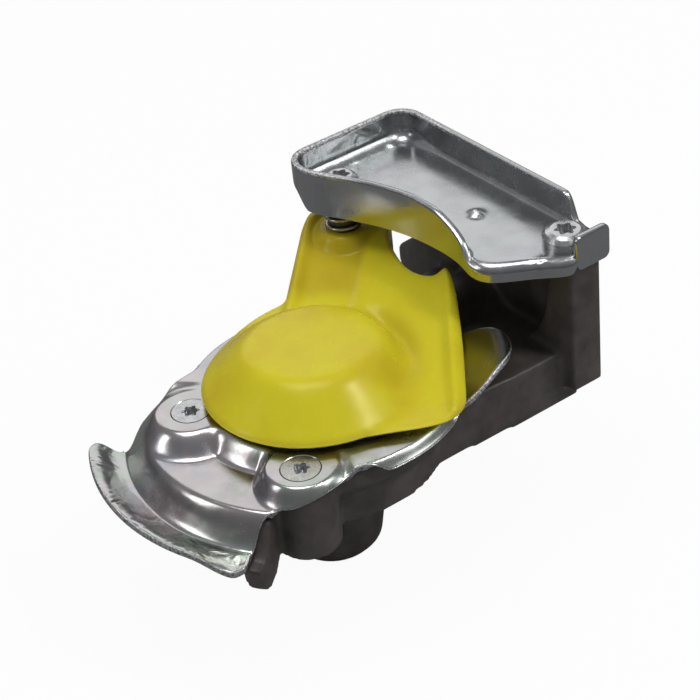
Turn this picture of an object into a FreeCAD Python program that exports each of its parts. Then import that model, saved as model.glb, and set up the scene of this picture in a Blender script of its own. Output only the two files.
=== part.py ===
import FreeCAD, Part
import math
import os

# Gladhand coupling head with a sprung dust lid.
# Origin: centre of the coupling face. +Z along the seal axis, +Y towards the rear wall and hose port,
# +X towards the side with the cast post. Millimetres.

os.makedirs("parts", exist_ok=True)
doc = FreeCAD.newDocument("gladhand_coupler")
V = FreeCAD.Vector

# Driving dimensions and clearances
SIZES = [
    ("sheet_t", 2.0), ("fit_gap", 0.05), ("seat_gap", 0.1), ("front_gap", 0.3), ("sink_gap", 0.12), ("part_gap", 0.3), ("run_gap", 0.03),
    # casting
    ("drum_r", 31.0), ("drum_bottom", -20.0), ("shoulder_r", 34.5), ("shoulder_h", 5.0),
    ("boss_top_r", 17.0), ("boss_tip_r", 12.5), ("boss_tip_z", -50.0), ("boss_round", 3.0),
    ("post_x", 32.1), ("post_front", 56.5), ("post_back", 66.3), ("post_bottom", -14.7),
    ("wall_front", 61.0), ("wall_back", 65.5), ("neck_side", 27.5), ("neck_top", -4.5),
    ("rib_w", 5.0), ("lug_bottom", -24.0), ("lobe_bottom", -17.0),
    # hose port, a plain wall at the minor diameter of M16 x 1.5
    ("port_x", -9.0), ("port_z", -12.5), ("port_boss_r", 13.0), ("port_r", 7.2), ("port_end", 70.0),
    ("port_depth", 16.0), ("port_lead_in", 1.0), ("passage_r", 3.4),
    # valve chamber
    ("seal_seat_r", 17.5), ("seal_seat_z", -9.0), ("chamber_r", 12.5), ("chamber_z", -29.0),
    ("well_r", 9.0), ("well_z", -45.5),
    # seal, sleeve, plunger and valve spring
    ("plate_hole_r", 16.2), ("seal_neck_r", 15.9), ("seal_bore_r", 9.5), ("seal_top", 1.0),
    ("sleeve_bore_r", 8.0), ("sleeve_window_h", 8.0), ("ring_wire_r", 1.2),
    ("plunger_head_r", 8.6), ("plunger_top", -1.6), ("plunger_head_h", 3.0), ("plunger_stem_r", 4.0),
    ("plunger_guide_r", 7.95), ("plunger_guide_z", -27.0), ("plunger_guide_h", 9.5),
    ("valve_wire_r", 0.8), ("valve_coil_r", 6.0), ("valve_turns", 4.0),
    # screws
    ("s1_x", 24.9), ("s1_y", -22.4), ("s2_x", -12.3), ("s2_y", -29.3),
    ("csk_r", 4.75), ("m5_r", 2.5), ("csk_len", 16.0), ("screw_boss_r", 8.0), ("screw_boss_z", -22.0),
    ("s3_x", 26.0), ("s3_y", 60.3), ("pan_r", 5.8), ("pan_h", 3.4), ("m6_r", 3.0), ("s3_len", 18.0),
    # lower guide plate
    ("ring_r", 38.0), ("left_ring_r", 32.5), ("pad_r", 8.0), ("pad_x", 24.0), ("pad_y", -21.6),
    ("right_roll", 4.4), ("left_roll", 6.6), ("step_r", 26.8), ("step_w", 5.4), ("terrace_z", -5.0),
    ("terrace_r", 43.6), ("fall_w", 6.4), ("channel_z", -13.0), ("rise_r", 50.6), ("rise_w", 7.5),
    ("lip_z", -9.0), ("lip_r", 58.5), ("lip_sag", 3.0), ("ear_rise", 6.0), ("rim_drop", 2.6),
    # upper guide plate
    ("tray_z", 24.6), ("tray_t", 1.9), ("rim_z", 34.7), ("skirt_z", 21.7), ("low_rim_z", 27.4),
    ("tab_low_z", 22.3), ("tab_top_z", 31.8), ("tray_hole_r", 3.1),
    # lid, its pivot and its spring
    ("pivot_x", -34.2), ("pivot_y", 36.2), ("pivot_head_r", 4.9), ("lid_rim_z", 1.6), ("lid_r", 28.4), ("lid_top_r", 16.9),
    ("lid_top_z", 12.6), ("lid_t", 2.2), ("hub_z", 15.6), ("hub_r", 6.6), ("hub_low", 7.0), ("arm_sink", 1.3),
    ("bead_h", 1.8), ("bead_in", 2.0), ("bead_w", 1.9), ("horn_h", 1.2), ("valley_r", 22.5), ("valley_w", 3.0),
    ("valley_depth", 2.2), ("column_sink", 0.7),
    ("bush_r", 4.1), ("shoulder_bolt_r", 3.2), ("nut_h", 5.0), ("nut_af", 10.0), ("washer_r", 5.1),
    ("washer_t", 0.9), ("lid_wire_r", 0.45), ("lid_coil_r", 4.8), ("lid_turns", 3.0),
]
sheet = doc.addObject("Spreadsheet::Sheet", "Sizes")
for row, (name, value) in enumerate(SIZES, start=1):
    sheet.set("A%d" % row, name)
    sheet.set("B%d" % row, str(value))
    sheet.setAlias("B%d" % row, name)
doc.recompute()


def size(name):
    """Value of one cell of the sheet."""
    return float(sheet.get(name))


def bound(text):
    """Expression in which every {name} is a cell of the sheet."""
    return text.replace("{", "Sizes.").replace("}", "")


def bind(obj, **rules):
    """Tie properties of an object to cells; at is the position as three expressions."""
    at = rules.pop("at", None)
    for prop, text in rules.items():
        obj.setExpression(prop, bound(text))
    if at:
        for axis, text in zip("xyz", at):
            obj.setExpression("Placement.Base." + axis, bound(text))
    return obj


def cylinder(name, radius, height, at, axis="Z"):
    """Bound cylinder that runs from its position along +Z or +Y."""
    obj = doc.addObject("Part::Cylinder", name)
    if axis == "Y":
        obj.Placement = FreeCAD.Placement(V(0, 0, 0), FreeCAD.Rotation(V(1, 0, 0), -90))
    return bind(obj, Radius=radius, Height=height, at=at)


def cone(name, low, high, height, at, axis="Z"):
    """Bound cone from radius low to radius high."""
    obj = doc.addObject("Part::Cone", name)
    if axis == "Y":
        obj.Placement = FreeCAD.Placement(V(0, 0, 0), FreeCAD.Rotation(V(1, 0, 0), -90))
    return bind(obj, Radius1=low, Radius2=high, Height=height, at=at)


def box(name, length, width, height, at, turn=0.0):
    """Bound box, turned by degrees about its own corner."""
    obj = doc.addObject("Part::Box", name)
    obj.Placement = FreeCAD.Placement(V(0, 0, 0), FreeCAD.Rotation(V(0, 0, 1), turn))
    return bind(obj, Length=length, Width=width, Height=height, at=at)


def solid(name, shape):
    """Free-form piece whose sizes were read from the sheet."""
    obj = doc.addObject("Part::Feature", name)
    obj.Shape = shape
    return obj


def fuse(name, parts):
    obj = doc.addObject("Part::MultiFuse", name)
    obj.Shapes = parts
    obj.Refine = True
    return obj


def cut(name, base, tool):
    obj = doc.addObject("Part::Cut", name)
    obj.Base = base
    obj.Tool = tool
    obj.Refine = True
    return obj


def common(name, parts):
    obj = doc.addObject("Part::MultiCommon", name)
    obj.Shapes = parts
    return obj


# Outline helpers
def rounded(corners):
    """Closed outline of straight lines; each corner is (x, y, radius of its arc)."""
    count = len(corners)
    marks = []
    for i, (x, y, r) in enumerate(corners):
        here = V(x, y, 0)
        before = V(corners[i - 1][0], corners[i - 1][1], 0) - here
        after = V(corners[(i + 1) % count][0], corners[(i + 1) % count][1], 0) - here
        before.normalize()
        after.normalize()
        if r <= 0:
            marks.append((here, here, here))
            continue
        half = 0.5 * before.getAngle(after)
        reach = r / math.tan(half)
        middle = before + after
        middle.normalize()
        marks.append((here + before * reach, here + middle * (r / math.sin(half) - r), here + after * reach))
    edges = []
    for i, (start, middle, end) in enumerate(marks):
        if (end - start).Length > 1e-6:
            edges.append(Part.Arc(start, middle, end).toShape())
        following = marks[(i + 1) % count][0]
        if (following - end).Length > 1e-6:
            edges.append(Part.LineSegment(end, following).toShape())
    return Part.Wire(edges)


def curve(points):
    """Smooth edge through points."""
    line = Part.BSplineCurve()
    line.interpolate([V(x, y, 0) for x, y in points])
    return line.toShape()


def inset(wire, depth, count):
    """Smooth closed outline that runs inside another at a steady distance."""
    marks = wire.discretize(Number=count + 1)[:-1]
    area = sum(a.x * b.y - b.x * a.y for a, b in zip(marks, marks[1:] + marks[:1]))
    turn = 1.0 if area > 0 else -1.0
    points = []
    for i, mark in enumerate(marks):
        along = marks[(i + 1) % count] - marks[i - 1]
        along.normalize()
        point = mark + V(-along.y, along.x, 0) * (depth * turn)
        if wire.distToShape(Part.Vertex(point))[0] > 0.97 * depth:
            points.append(point)
    loop = Part.BSplineCurve()
    loop.interpolate(points, True)
    return Part.Wire(loop.toShape())


def prism(wire, low, high):
    """Upright solid over a flat outline."""
    face = Part.Face(wire)
    face.translate(V(0, 0, low))
    return face.extrude(V(0, 0, high - low))


def polar(radius, degrees):
    return (radius * math.cos(math.radians(degrees)), radius * math.sin(math.radians(degrees)))


def ease(value):
    """Cosine step from 0 to 1."""
    value = min(1.0, max(0.0, value))
    return 0.5 - 0.5 * math.cos(math.pi * value)


def height_face(height, low, high, cells):
    """Smooth face over the box low to high whose height is a function of x and y."""
    rows = []
    for i in range(cells + 1):
        x = low[0] + (high[0] - low[0]) * i / cells
        rows.append([V(x, low[1] + (high[1] - low[1]) * j / cells,
                       height(x, low[1] + (high[1] - low[1]) * j / cells)) for j in range(cells + 1)])
    surface = Part.BSplineSurface()
    surface.interpolate(rows)
    return surface.toShape()


def swept(face, height):
    """Solid swept upwards or downwards from a face, with its skin facing outwards."""
    body = face.extrude(V(0, 0, height))
    if body.Volume < 0:
        body.reverse()
    return body


# Lower guide plate: flat ring, two screw pads, a terrace, a channel and a raised lip
def plate_height(x, y):
    r = math.hypot(x, y)
    turn = math.degrees(math.atan2(y, x))
    front = size("terrace_z")
    front += (size("channel_z") - front) * ease((r - size("terrace_r")) / size("fall_w"))
    rise = size("lip_z") - size("channel_z") - size("lip_sag") * ease((turn + 68.0) / 12.0)
    front += rise * ease((r - size("rise_r")) / size("rise_w"))
    keep = ease((r - size("step_r")) / size("step_w"))
    for px, py, roll in ((size("pad_x"), size("pad_y"), size("right_roll")),
                         (size("s2_x"), size("s2_y"), size("left_roll"))):
        keep *= ease((math.hypot(x - px, y - py) - size("pad_r")) / roll)
    off = abs((turn + 77.5 + 180.0) % 360.0 - 180.0)
    keep *= 1.0 - ease((off - 46.0) / 12.0)
    z = front * keep
    z += size("ear_rise") * ease((r - 37.0) / 11.0) * ease((turn - 22.0) / 16.0) * ease((102.0 - turn) / 16.0)
    z -= size("rim_drop") * ease((r - 34.8) / 4.0) * ease((turn + 24.0) / 10.0) * ease((36.0 - turn) / 10.0)
    return z


ring = size("ring_r")
lip = size("lip_r")
left = size("left_ring_r")
plate_outline = [
    Part.Arc(V(*polar(ring, 33), 0), V(*polar(ring, 10), 0), V(*polar(ring, -9), 0)).toShape(),
    curve([polar(ring, -9), (34.4, -10.2), (33.3, -13.2), (33.9, -17.6), (34.5, -22.5), (33.4, -27.4),
           (30.7, -31.2), (28.6, -33.0), (27.9, -36.2), polar(48.5, -54.2)]),
    curve([polar(48.5, -54.2), polar(50.5, -54.8), polar(lip - 3.0, -54.3), polar(lip, -56.0)]),
    Part.Arc(V(*polar(lip, -56), 0), V(*polar(lip, -90), 0), V(*polar(lip, -119), 0)).toShape(),
    curve([polar(lip, -119), polar(lip - 2.0, -121.8), polar(51.0, -121.5), polar(45.0, -120.5),
           (-23.2, -35.0), (-25.0, -28.5), polar(left, -145)]),
    Part.Arc(V(*polar(left, -145), 0), V(*polar(left, 180), 0), V(*polar(left, 100), 0)).toShape(),
    curve([polar(left, 100), polar(36.0, 84), polar(45.0, 69), polar(48.5, 61), polar(48.8, 54),
           polar(45.5, 46), polar(ring, 33)]),
]
plate_wire = Part.Wire(plate_outline)
plate_top = height_face(plate_height, (-44.0, -62.0), (44.0, 54.0), 76)
plate_sheet = solid("plate_sheet", swept(plate_top, -size("sheet_t")))
plate_area = solid("plate_area", prism(plate_wire, -30.0, 20.0))
plate_body = common("plate_body", [plate_sheet, plate_area])
plate_hole = cylinder("plate_hole", "{plate_hole_r}", "40", ("0", "0", "-20"))
plate_tools = [plate_hole]
sinks = []
for tag in ("s1", "s2"):
    sx, sy = "{%s_x}" % tag, "{%s_y}" % tag
    plate_tools.append(cylinder(tag + "_plate_hole", "{m5_r} + {fit_gap}", "40", (sx, sy, "-20")))
    sinks.append(cone(tag + "_plate_sink", "{m5_r} + {sink_gap}", "{csk_r} + {sink_gap} + 1",
                      "{csk_r} - {m5_r} + 1", (sx, sy, "{m5_r} - {csk_r}")))
lower_plate = cut("lower_plate", plate_body, fuse("plate_tools", plate_tools + sinks))
lower_plate.Label = "lower_guide_plate"

# Casting
drum = cylinder("drum", "{drum_r}", "-{drum_bottom} - {sheet_t} - {seat_gap}", ("0", "0", "{drum_bottom}"))
shoulder_disc = cylinder("shoulder_disc", "{shoulder_r}", "{shoulder_h}",
                         ("0", "0", "-{sheet_t} - {seat_gap} - {shoulder_h}"))
shoulder_cone = cone("shoulder_cone", "{drum_r}", "{shoulder_r}", "5",
                     ("0", "0", "-{sheet_t} - {seat_gap} - {shoulder_h} - 5"))
front_wedge = prism(Part.makePolygon([V(0, 0, 0), V(*polar(70, -122), 0), V(*polar(70, -85), 0),
                                      V(*polar(70, -38), 0), V(0, 0, 0)]), -13.0, 0.0)
shoulder = cut("shoulder", fuse("shoulder_full", [shoulder_disc, shoulder_cone]), solid("front_wedge", front_wedge))
front_sector = prism(Part.makePolygon([V(0, 0, 0), V(*polar(70, -137), 0), V(*polar(70, -98), 0),
                                       V(*polar(70, -58), 0), V(*polar(70, -18), 0), V(0, 0, 0)]), -15.0, 5.0)
front_zone = cut("front_zone", solid("front_sector", front_sector),
                 cylinder("front_hub", "{step_r} - 0.6", "30", ("0", "0", "-20")))
above_plate = solid("above_plate", swept(plate_top.translated(V(0, 0, -size("sheet_t") - size("front_gap"))), 60.0))
round_body = cut("round_body", fuse("round_full", [drum, shoulder]), common("front_cut", [front_zone, above_plate]))
boss_wall = cone("boss_wall", "{boss_tip_r} + 0.25", "{boss_top_r}", "{drum_bottom} - {boss_tip_z} - {boss_round}",
                 ("0", "0", "{boss_tip_z} + {boss_round}"))
boss_tip = cone("boss_tip", "{boss_tip_r} - {boss_round} + 0.6", "{boss_tip_r} + 0.25", "{boss_round}",
                ("0", "0", "{boss_tip_z}"))
casting_parts = [round_body, boss_wall, boss_tip]

# Front lobe under the terrace, with one upright lug at each end of the lip
lobe_wire = Part.Wire([
    Part.Arc(V(*polar(41.5, -52), 0), V(*polar(41.5, -84), 0), V(*polar(41.5, -118), 0)).toShape(),
    Part.LineSegment(V(*polar(41.5, -118), 0), V(*polar(20, -118), 0)).toShape(),
    Part.LineSegment(V(*polar(20, -118), 0), V(*polar(20, -52), 0)).toShape(),
    Part.LineSegment(V(*polar(20, -52), 0), V(*polar(41.5, -52), 0)).toShape(),
])
front_parts = [solid("front_lobe", prism(lobe_wire, size("lobe_bottom"), 9.0))]
for tag in ("s1", "s2"):
    front_parts.append(cylinder(tag + "_boss", "{screw_boss_r}", "-{screw_boss_z} + 2",
                                ("{%s_x}" % tag, "{%s_y}" % tag, "{screw_boss_z}")))
rib = size("rib_w")
for name, turn in (("lug_right", -54.0), ("lug_left", -118.5)):
    side = Part.makePolygon([V(24, 0, 9.0), V(53.5, 0, 9.0), V(53.5, 0, -15.0), V(52.0, 0, -20.5),
                             V(50.0, 0, size("lug_bottom")), V(44.5, 0, size("lug_bottom")),
                             V(40.0, 0, -20.5), V(24, 0, -19.5), V(24, 0, 9.0)])
    lug = Part.Face(side)
    lug.translate(V(0, -0.5 * rib, 0))
    lug = lug.extrude(V(0, rib, 0))
    lug.rotate(V(0, 0, 0), V(0, 0, 1), turn)
    front_parts.append(solid(name, lug))

# The front follows the underside of the guide plate
casting_parts.append(cut("front_cast", fuse("front_raw", front_parts), above_plate))

# Neck, rear wall and post
neck_wire = rounded([(-24, 8, 0), (-27, 62, 4), (size("neck_side"), 62, 0), (size("neck_side"), 44, 6),
                     (26, 22, 5), (27, 8, 0)])
casting_parts.append(solid("neck", prism(neck_wire, size("drum_bottom"), size("neck_top"))))
base_z = size("post_bottom")
top_z = size("tray_z")
wall_side = rounded([(-46.5, base_z, 3), (-46.5, -7.3, 2), (-5.9, top_z, 0), (size("post_x"), top_z, 0),
                     (size("post_x"), base_z, 2)])
wall_side.rotate(V(0, 0, 0), V(1, 0, 0), 90)
wall = Part.Face(wall_side)
wall.translate(V(0, size("wall_back"), 0))
wall = wall.extrude(V(0, size("wall_front") - size("wall_back"), 0))
casting_parts.append(solid("rear_wall", wall))
web_line = Part.BSplineCurve()
web_line.interpolate([V(21.5, 0, top_z), V(22.4, 0, 10.0), V(20.8, 0, 3.5), V(17.4, 0, -3.0),
                      V(12.5, 0, -10.0), V(8.0, 0, base_z)])
web_wire = Part.Wire([
    web_line.toShape(),
    Part.LineSegment(V(8.0, 0, base_z), V(size("post_x"), 0, base_z)).toShape(),
    Part.LineSegment(V(size("post_x"), 0, base_z), V(size("post_x"), 0, top_z)).toShape(),
    Part.LineSegment(V(size("post_x"), 0, top_z), V(21.5, 0, top_z)).toShape(),
])
web = Part.Face(web_wire)
web.translate(V(0, size("post_front"), 0))
web = web.extrude(V(0, size("post_back") - size("post_front"), 0))
casting_parts.append(solid("post_web", web))
casting_parts.append(cone("port_taper", "7", "{port_boss_r}", "18", ("{port_x}", "24", "{port_z}"), "Y"))
casting_parts.append(cylinder("port_boss", "{port_boss_r}", "{port_end} - 42", ("{port_x}", "42", "{port_z}"), "Y"))

casting_solid = fuse("casting_solid", casting_parts)

# Bores
bores = [
    cylinder("seal_seat", "{seal_seat_r}", "-{seal_seat_z} + 10", ("0", "0", "{seal_seat_z}")),
    cylinder("chamber", "{chamber_r}", "-{chamber_z}", ("0", "0", "{chamber_z}")),
    cylinder("well", "{well_r}", "-{well_z}", ("0", "0", "{well_z}")),
    cylinder("port_bore", "{port_r}", "{port_depth} + 5", ("{port_x}", "{port_end} - {port_depth}", "{port_z}"), "Y"),
    cone("port_mouth", "{port_r}", "{port_r} + {port_lead_in}", "{port_lead_in}",
         ("{port_x}", "{port_end} - {port_lead_in}", "{port_z}"), "Y"),
    cylinder("port_passage", "{passage_r}", "{port_end} - {port_depth}", ("{port_x}", "4", "{port_z}"), "Y"),
    cylinder("s3_hole", "{m6_r} + {fit_gap}", "{s3_len} + 2", ("{s3_x}", "{s3_y}", "{tray_z} - {s3_len}")),
]
for tag in ("s1", "s2"):
    bores.append(cylinder(tag + "_hole", "{m5_r} + {fit_gap}", "{csk_len} + 4",
                          ("{%s_x}" % tag, "{%s_y}" % tag, "-{csk_len} - 1")))
casting = cut("casting", casting_solid, fuse("bores", bores + sinks))
casting.Label = "body_casting"


# Six-lobe driver recess
def recess(name, mean, wave, depth, at):
    """Six-lobed socket that opens upwards at the given height."""
    steps = 36
    points = [V(*polar(mean + wave * math.cos(6.0 * 2.0 * math.pi * i / steps), 360.0 * i / steps), 0)
              for i in range(steps)]
    loop = Part.BSplineCurve()
    loop.interpolate(points, True)
    obj = solid(name, Part.Face(Part.Wire(loop.toShape())).extrude(V(0, 0, depth)))
    return bind(obj, at=at)


# Countersunk guide-plate screws
for tag, label in (("s1", "guide_screw_right"), ("s2", "guide_screw_left")):
    sx, sy = "{%s_x}" % tag, "{%s_y}" % tag
    screw = fuse(tag + "_blank", [
        cone(tag + "_head", "{m5_r}", "{csk_r}", "{csk_r} - {m5_r}", (sx, sy, "{m5_r} - {csk_r}")),
        cylinder(tag + "_shank", "{m5_r}", "{csk_len} + {m5_r} - {csk_r}", (sx, sy, "-{csk_len}")),
    ])
    cut(tag + "_screw", screw, recess(tag + "_recess", 1.95, 0.32, 2.0, (sx, sy, "-1.8"))).Label = label


# Pan-head screw shapes
def pan_head(name, radius, at):
    """Pan head with a rounded crown; at is the centre of its seat."""
    x, y, z = at
    low = cylinder(name + "_low", radius, "{pan_h} * 0.55", (x, y, z))
    crown = cone(name + "_crown", radius, radius + " * 0.85", "{pan_h} * 0.3", (x, y, z + " + {pan_h} * 0.55"))
    top = cone(name + "_top", radius + " * 0.85", radius + " * 0.66", "{pan_h} * 0.15",
               (x, y, z + " + {pan_h} * 0.85"))
    return [low, crown, top]


s3_seat = "{tray_z} + {tray_t}"
post_blank = fuse("s3_blank", pan_head("s3_head", "{pan_r}", ("{s3_x}", "{s3_y}", s3_seat)) + [
    cylinder("s3_shank", "{m6_r}", "{s3_len}", ("{s3_x}", "{s3_y}", s3_seat + " - {s3_len}"))])
post_screw = cut("s3_screw", post_blank, recess("s3_recess", 2.4, 0.4, 3.0,
                                                ("{s3_x}", "{s3_y}", s3_seat + " + {pan_h} - 2.4")))
post_screw.Label = "post_screw"

# Face seal: a collar held under the plate and a neck through it
seal_parts = [
    cylinder("seal_collar", "{seal_seat_r} - {fit_gap}", "-{seal_seat_z} - {sheet_t}", ("0", "0", "{seal_seat_z}")),
    cylinder("seal_neck", "{seal_neck_r}", "{sheet_t} + {seal_top} - 0.6", ("0", "0", "-{sheet_t}")),
    cone("seal_edge", "{seal_neck_r}", "{seal_neck_r} - 0.6", "0.6", ("0", "0", "{seal_top} - 0.6")),
]
seal_holes = fuse("seal_holes", [
    cylinder("seal_bore", "{seal_bore_r}", "20", ("0", "0", "-12")),
    cone("seal_funnel", "{seal_bore_r}", "{seal_bore_r} + 2.2", "1.6", ("0", "0", "{seal_top} - 1.59")),
])
cut("seal", fuse("seal_blank", seal_parts), seal_holes).Label = "face_seal"


def torus(name, major, minor, at):
    obj = doc.addObject("Part::Torus", name)
    return bind(obj, Radius1=major, Radius2=minor, at=at)


def groove(name, outer, inner, middle):
    """Ring-shaped cutter for a groove as high as a sealing ring, about the seal axis."""
    low = middle + " - {ring_wire_r} - {fit_gap}"
    tall = "2 * {ring_wire_r} + 2 * {fit_gap}"
    return cut(name, cylinder(name + "_outer", outer, tall, ("0", "0", low)),
               cylinder(name + "_inner", inner, tall, ("0", "0", low)))


# Valve sleeve with side windows and a ring in its groove
sleeve_ring = torus("sleeve_ring", "{chamber_r} - {fit_gap} - {ring_wire_r}", "{ring_wire_r}", ("0", "0", "-22.5"))
sleeve_ring.Label = "sleeve_ring"
sleeve_blank = cylinder("sleeve_blank", "{chamber_r} - {fit_gap}", "{seal_seat_z} - {chamber_z}",
                        ("0", "0", "{chamber_z}"))
sleeve_tools = fuse("sleeve_tools", [
    cylinder("sleeve_bore", "{sleeve_bore_r}", "40", ("0", "0", "-40")),
    box("sleeve_window_y", "9", "40", "{sleeve_window_h}", ("-4.5", "-20", "{seal_seat_z} - {sleeve_window_h} - 0.4")),
    box("sleeve_window_x", "40", "9", "{sleeve_window_h}", ("-20", "-4.5", "{seal_seat_z} - {sleeve_window_h} - 0.4")),
    groove("sleeve_groove", "{chamber_r} + 1", "{chamber_r} - {fit_gap} - 2 * {ring_wire_r}", "-22.5"),
])
cut("sleeve", sleeve_blank, sleeve_tools).Label = "valve_sleeve"

# Plunger with its ring
ring_z = "{plunger_guide_z} + 0.5 * {plunger_guide_h}"
plunger_blank = fuse("plunger_blank", [
    cylinder("plunger_head", "{plunger_head_r}", "{plunger_head_h}", ("0", "0", "{plunger_top} - {plunger_head_h}")),
    cylinder("plunger_stem", "{plunger_stem_r}", "{plunger_top} - {plunger_guide_z} - 1", ("0", "0", "{plunger_guide_z}")),
    cylinder("plunger_guide", "{plunger_guide_r}", "{plunger_guide_h}", ("0", "0", "{plunger_guide_z}")),
])
plunger_groove = groove("plunger_groove", "{plunger_guide_r} + 1", "{plunger_guide_r} - 2 * {ring_wire_r}", ring_z)
cut("plunger", plunger_blank, plunger_groove).Label = "valve_plunger"
plunger_ring = torus("plunger_ring", "{plunger_guide_r} - {ring_wire_r}", "{ring_wire_r}", ("0", "0", ring_z))


# Coil springs
def coil(name, radius, wire, turns, low, high, x, y):
    """Open coil between two levels, both at the wire's centre line."""
    helix = Part.makeLongHelix((high - low) / turns, high - low, radius)
    ring_face = Part.Wire(Part.makeCircle(wire, V(radius, 0, 0), V(0, 1, (high - low) / turns / (2 * math.pi * radius))))
    shape = Part.Wire(helix).makePipeShell([ring_face], True, True)
    obj = solid(name, shape)
    obj.Placement = FreeCAD.Placement(V(x, y, low), FreeCAD.Rotation(V(0, 0, 1), 215))
    return obj


valve_wire = size("valve_wire_r")
coil("valve_spring", size("valve_coil_r"), valve_wire, size("valve_turns"), size("well_z") + valve_wire + 0.2,
     size("plunger_guide_z") - valve_wire - size("part_gap"), 0.0, 0.0)
lid_wire = size("lid_wire_r")
coil("lid_spring", size("lid_coil_r"), lid_wire, size("lid_turns"), size("hub_z") + lid_wire + 0.15,
     size("tray_z") - lid_wire - 0.15, size("pivot_x"), size("pivot_y"))

# Upper guide plate: a shallow tray with a hollowed front edge, a hanging front skirt and a side tab
rear = 68.2
side = -47.6
front_points = [(34.0, 56.0), (32.8, 53.4), (28.5, 48.0), (24.4, 41.8), (21.0, 38.4), (17.0, 37.4), (12.5, 38.2),
                (7.8, 39.0), (1.2, 39.0), (-9.0, 37.8), (-18.7, 35.0), (-30.0, 29.8), (-38.5, 26.7),
                (-43.8, 27.8), (-46.9, 31.2), (side, 36.0)]
tray_wire = Part.Wire([
    Part.LineSegment(V(side, 36.0, 0), V(side, rear - 7.0, 0)).toShape(),
    Part.Arc(V(side, rear - 7.0, 0), V(side + 2.05, rear - 2.05, 0), V(side + 7.0, rear, 0)).toShape(),
    Part.LineSegment(V(side + 7.0, rear, 0), V(34.0, rear, 0)).toShape(),
    Part.LineSegment(V(34.0, rear, 0), V(34.0, 56.0, 0)).toShape(),
    curve(front_points),
])
inner_wire = inset(tray_wire, size("tray_t"), 110)
tray_floor = solid("tray_floor", prism(tray_wire, size("tray_z"), size("tray_z") + size("tray_t")))
wall_ring = prism(tray_wire, size("skirt_z"), size("rim_z")).cut(prism(inner_wire, 0.0, 50.0))
tray_walls = solid("tray_walls", wall_ring)
floor_z = size("tray_z") + size("tray_t")
rim = size("rim_z")
low_rim = size("low_rim_z")
# Rim line of the front edge in side view: high on the left, low on the right
rim_line = Part.BSplineCurve()
rim_line.interpolate([V(-6, 0, rim + 1.0), V(2.0, 0, rim - 0.9), V(10.0, 0, rim - 4.0), V(16.0, 0, low_rim + 0.6),
                      V(22.0, 0, low_rim), V(40.0, 0, low_rim)])
rim_cut = Part.Wire([rim_line.toShape(), Part.LineSegment(V(40, 0, low_rim), V(40, 0, 60)).toShape(),
                     Part.LineSegment(V(40, 0, 60), V(-6, 0, 60)).toShape(),
                     Part.LineSegment(V(-6, 0, 60), V(-6, 0, rim + 1.0)).toShape()])
front_trim = solid("front_trim", Part.Face(rim_cut).extrude(V(0, rear - 5.0, 0)))
back_end = rounded([(23.5, floor_z + 0.2, 0), (23.5, 60, 0), (60, 60, 0), (60, floor_z + 0.2, 0)])
back_end.rotate(V(0, 0, 0), V(1, 0, 0), 90)
back_trim = solid("back_trim", Part.Face(back_end).extrude(V(0, 80, 0)))
corner_trim = box("corner_trim", "12", "10", "12", ("17.5", "64", "{rim_z}"))
corner_trim.Placement = FreeCAD.Placement(V(17.5, 64, rim), FreeCAD.Rotation(V(0, 1, 0), 42))
skirt_trims = [
    box("skirt_trim_left", "14", "60", "10", ("-52", "26", "{tray_z} - 10")),
    box("skirt_trim_back", "100", "26", "10", ("-52", "57", "{tray_z} - 10")),
]
tab = box("tray_tab", "{tray_t}", "{post_back} - {post_front} + 1.4", "{tab_top_z} - {tab_low_z}",
          ("{post_x} + {fit_gap}", "{post_front} + 0.4", "{tab_low_z}"))
tray_shell = fuse("tray_shell", [tray_walls, tray_floor])
tray_cut = cut("tray_cut", tray_shell, fuse("tray_trims", [front_trim, back_trim, corner_trim] + skirt_trims))
tray_blank = fuse("tray_blank", [tray_cut, tab])
dimple_low = cone("dimple", "2.0", "3.4", "1.6", ("0.7", "52.8", "{tray_z} - 1.5"))
tray_full = fuse("tray_full", [tray_blank, dimple_low])
tray_holes = fuse("tray_holes", [
    cylinder("tray_s3_hole", "{tray_hole_r}", "12", ("{s3_x}", "{s3_y}", "{tray_z} - 5")),
    cylinder("tray_pivot_hole", "{shoulder_bolt_r} + {fit_gap}", "12", ("{pivot_x}", "{pivot_y}", "{tray_z} - 5")),
    cone("dimple_hollow", "1.2", "2.8", "2.2", ("0.7", "52.8", "{tray_z} + {tray_t} - 2")),
])
cut("tray", tray_full, tray_holes).Label = "upper_guide_plate"

# Pivot bolt, its washers and its nut
px, py = "{pivot_x}", "{pivot_y}"
head_seat = "{tray_z} + {tray_t} + {washer_t}"
bolt_blank = fuse("bolt_blank", pan_head("bolt_head", "{pivot_head_r}", (px, py, head_seat)) + [
    cylinder("bolt_shoulder", "{shoulder_bolt_r}", head_seat + " - {hub_low} + {part_gap}",
             (px, py, "{hub_low} - {part_gap}")),
    cylinder("bolt_thread", "{m6_r}", "{nut_h} + {washer_t} + 0.5",
             (px, py, "{hub_low} - {part_gap} - {washer_t} - {nut_h} - 0.5")),
])
cut("bolt", bolt_blank, recess("bolt_recess", 2.4, 0.4, 3.0, (px, py, head_seat + " + {pan_h} - 2.4"))).Label = "pivot_bolt"
cut("head_washer_cut", cylinder("head_washer_disc", "{washer_r}", "{washer_t}", (px, py, "{tray_z} + {tray_t}")),
    cylinder("head_washer_hole", "{shoulder_bolt_r} + {fit_gap}", "6", (px, py, "{tray_z}"))).Label = "head_washer"
cut("nut_washer_cut", cylinder("nut_washer_disc", "{washer_r}", "{washer_t}",
                               (px, py, "{hub_low} - {part_gap} - {washer_t}")),
    cylinder("nut_washer_hole", "{m6_r} + {fit_gap}", "6", (px, py, "{hub_low} - 4"))).Label = "nut_washer"
nut = doc.addObject("Part::Prism", "nut_blank")
nut.Polygon = 6
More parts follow.
